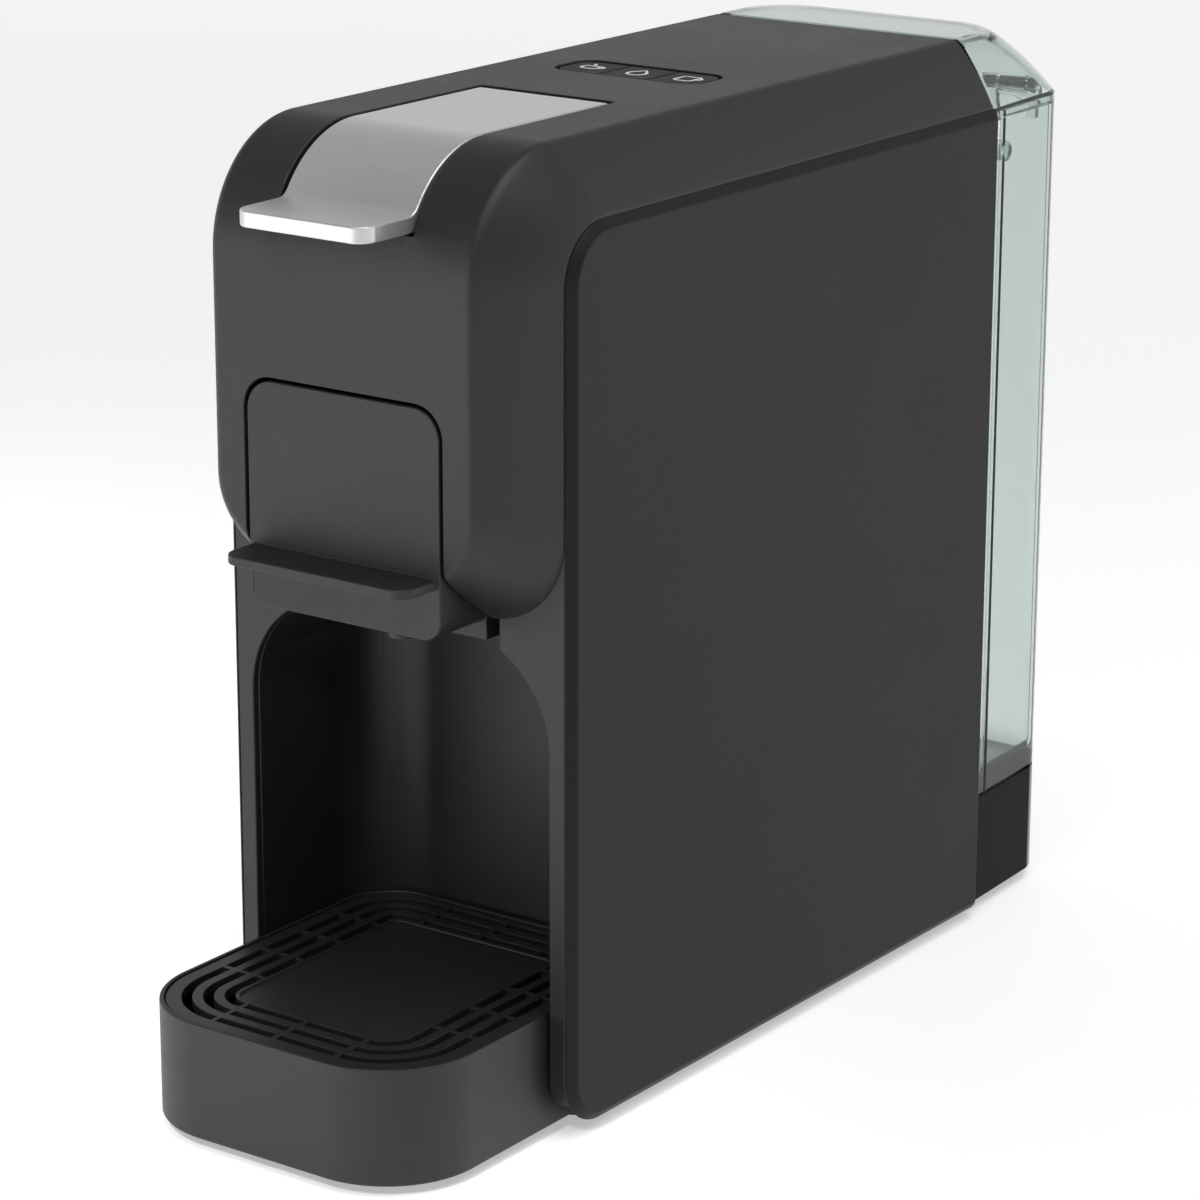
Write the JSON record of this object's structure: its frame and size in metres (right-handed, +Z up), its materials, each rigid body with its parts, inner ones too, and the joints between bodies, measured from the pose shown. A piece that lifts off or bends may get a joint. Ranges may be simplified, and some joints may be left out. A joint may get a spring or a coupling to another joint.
{
  "type": "pod coffee machine",
  "caption": "Slim pod coffee machine with a steel top lever, pull-out capsule drawer, arched cup bay, drip tray and clear rear water tank.",
  "frame": {"origin": "middle of the overall box, on the plane that the rubber feet stand on", "axes": "+Z up, -Y towards the front with the cup bay, +X to the right seen from the front"},
  "size_m": [0.118, 0.3244, 0.2727],
  "materials": {
    "housing_plastic": "fine matte moulded plastic, dark grey",
    "panel_plastic": "smooth matte moulded plastic, near black",
    "inner_plastic": "plain moulded plastic, black",
    "grille_plastic": "matte plastic, black",
    "bezel_gloss": "gloss plastic, black",
    "key_plastic": "satin plastic, black",
    "lever_steel": "brushed stainless steel",
    "arm_plastic": "glass-filled plastic, black",
    "pin_steel": "ground steel",
    "spring_steel": "drawn steel wire",
    "brew_metal": "cast aluminium",
    "seal_rubber": "silicone rubber, red-brown",
    "dock_gloss": "gloss plastic, smoky black",
    "clear_plastic": "clear plastic with a faint grey-green tint",
    "white_plastic": "acetal, white",
    "black_rubber": "rubber, black",
    "pump_body": "glass-filled plastic, dark",
    "hose_silicone": "silicone tube, translucent white",
    "board_green": "circuit board, green"
  },
  "bodies": {
    "housing": {"front_leg_left": "housing_plastic", "front_leg_right": "housing_plastic", "head_shell": "housing_plastic", "side_panel_left": "panel_plastic", "side_panel_right": "panel_plastic", "base_plate": "inner_plastic", "frame_left": "inner_plastic", "frame_right": "inner_plastic", "rear_wall": "inner_plastic", "bay_liner": "inner_plastic", "button_bezel": "bezel_gloss", "lever_pin": "pin_steel", "assembly_screws": "pin_steel", "piston_spring": "spring_steel", "brew_frame": "brew_metal", "thermoblock": "brew_metal", "dock_seal": "seal_rubber", "tank_dock": "dock_gloss", "flow_meter": "white_plastic", "rubber_feet": "black_rubber", "cord_gland": "black_rubber", "pump_mounts": "black_rubber", "water_pump": "pump_body", "suction_hose": "hose_silicone", "inlet_hose": "hose_silicone", "pressure_hose": "hose_silicone", "brew_hose": "hose_silicone", "control_board": "board_green", "button_board": "board_green"},
    "lever": {"lever_cover": "lever_steel", "lever_arm": "arm_plastic"},
    "piston": {"brew_piston": "brew_metal", "piston_seal": "seal_rubber"},
    "drawer": {"pod_drawer": "housing_plastic", "capsule_holder": "arm_plastic", "coffee_spout": "arm_plastic"},
    "tray": {"drip_tray": "housing_plastic"},
    "grille": {"drip_grille": "grille_plastic"},
    "tank": {"tank_body": "clear_plastic", "valve_cage": "white_plastic", "valve_spring": "spring_steel", "lid_pins": "pin_steel"},
    "valve": {"tank_valve": "white_plastic"},
    "lid": {"tank_lid": "clear_plastic"},
    "key_left": {"button_left": "key_plastic"},
    "key_middle": {"button_middle": "key_plastic"},
    "key_right": {"button_right": "key_plastic"}
  },
  "joints": [
    {"name": "lever_hinge", "type": "hinge", "parent": "housing", "child": "lever", "pos_m": [0, -0.03975, 0.2655], "axis": [-1, 0, 0], "range_deg": [0, 72]},
    {"name": "piston_slide", "type": "slide", "parent": "housing", "child": "piston", "axis": [0, 0, 1], "range_m": [0, 0.0141], "deforming": ["piston_spring"]},
    {"name": "drawer_slide", "type": "slide", "parent": "housing", "child": "drawer", "axis": [0, -1, 0], "range_m": [0, 0.05]},
    {"name": "tray_slide", "type": "slide", "parent": "housing", "child": "tray", "axis": [0, -1, 0], "range_m": [0, 0.15]},
    {"name": "grille_lift", "type": "slide", "parent": "tray", "child": "grille", "axis": [0, 0, 1], "range_m": [0, 0.05]},
    {"name": "tank_lift", "type": "slide", "parent": "housing", "child": "tank", "axis": [0, 0, 1], "range_m": [0, 0.26]},
    {"name": "lid_hinge", "type": "hinge", "parent": "tank", "child": "lid", "pos_m": [0, 0.15975, 0.253], "axis": [-1, 0, 0], "range_deg": [0, 95]},
    {"name": "valve_slide", "type": "slide", "parent": "tank", "child": "valve", "axis": [0, 0, 1], "range_m": [0, 0.002], "stiffness_N_per_m": 150, "springref_m": -0.001, "deforming": ["valve_spring"]},
    {"name": "key_left_press", "type": "slide", "parent": "housing", "child": "key_left", "axis": [0, 0, -1], "range_m": [0, 0.001], "stiffness_N_per_m": 800},
    {"name": "key_middle_press", "type": "slide", "parent": "housing", "child": "key_middle", "axis": [0, 0, -1], "range_m": [0, 0.001], "stiffness_N_per_m": 800},
    {"name": "key_right_press", "type": "slide", "parent": "housing", "child": "key_right", "axis": [0, 0, -1], "range_m": [0, 0.001], "stiffness_N_per_m": 800}
  ],
  "couplings": [
    {"joint": "piston_slide", "follows": "lever_hinge", "m_per_rad": 0.01114}
  ]
}
